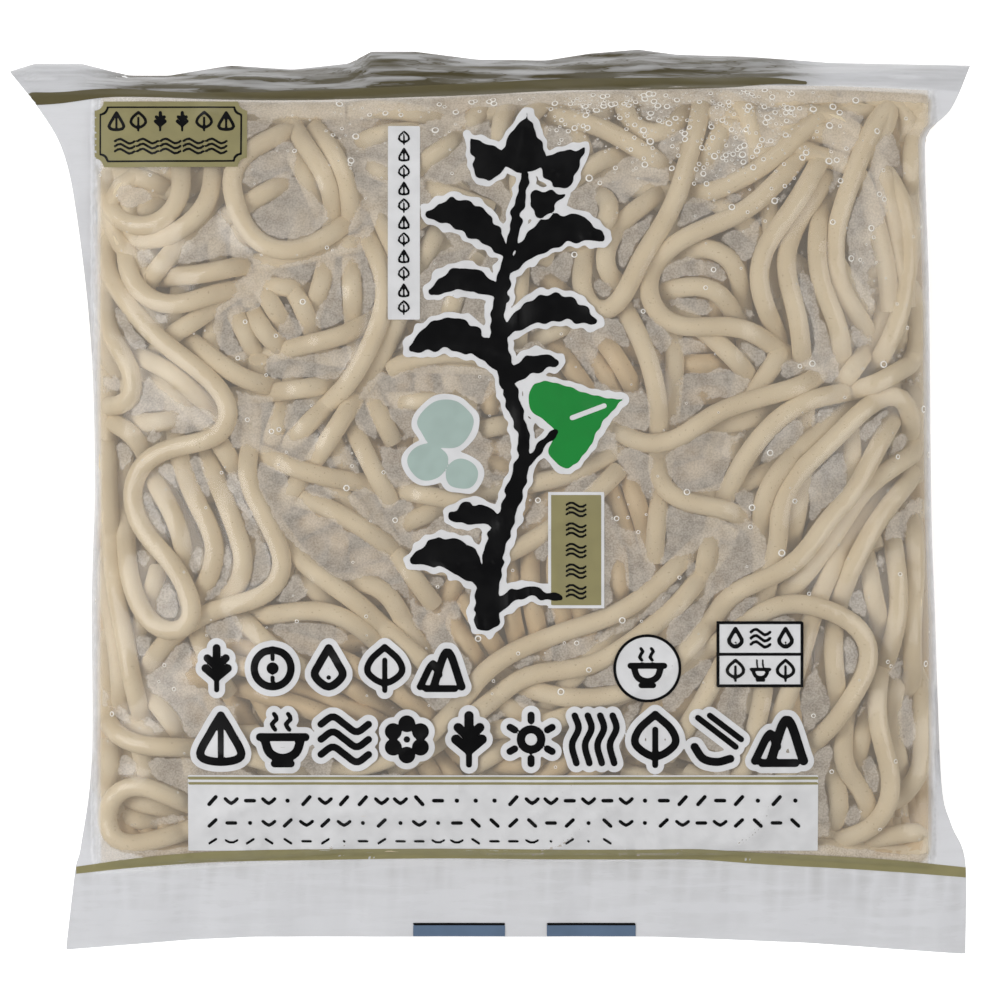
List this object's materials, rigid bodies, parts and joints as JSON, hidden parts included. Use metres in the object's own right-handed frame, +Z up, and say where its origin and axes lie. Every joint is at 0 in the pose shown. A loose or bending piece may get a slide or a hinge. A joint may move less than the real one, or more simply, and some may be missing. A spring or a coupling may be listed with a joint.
{
  "type": "sealed bag of boiled soba noodles",
  "caption": "Clear sealed pillow bag full of boiled buckwheat noodles, with a flat seal at each end, lying on its back with its printed face up.",
  "frame": {"origin": "middle of the bag's footprint, on the surface it lies on", "axes": "+X across the bag, along its seals; +Y towards the top seal; +Z up, out of the printed face"},
  "size_m": [0.1542, 0.145, 0.0238],
  "materials": {
    "wrapped_noodles": "pale buckwheat noodles seen through clear film",
    "noodles": "moist, smooth, faintly speckled boiled noodle",
    "clear_film": "thin clear glossy film, fogged inside by moisture, milky in the seals",
    "water": "small drops of water on the inside of the film",
    "print_white": "thin white ink under gloss film",
    "print_black": "dense black ink under gloss film",
    "print_green": "leaf green ink under gloss film",
    "print_pale_green": "pale grey-green ink under gloss film",
    "print_gold": "dull olive gold ink under gloss film",
    "print_blue": "dull blue ink under gloss film"
  },
  "bodies": {
    "root": {"noodle_bag": "wrapped_noodles"}
  },
  "joints": []
}
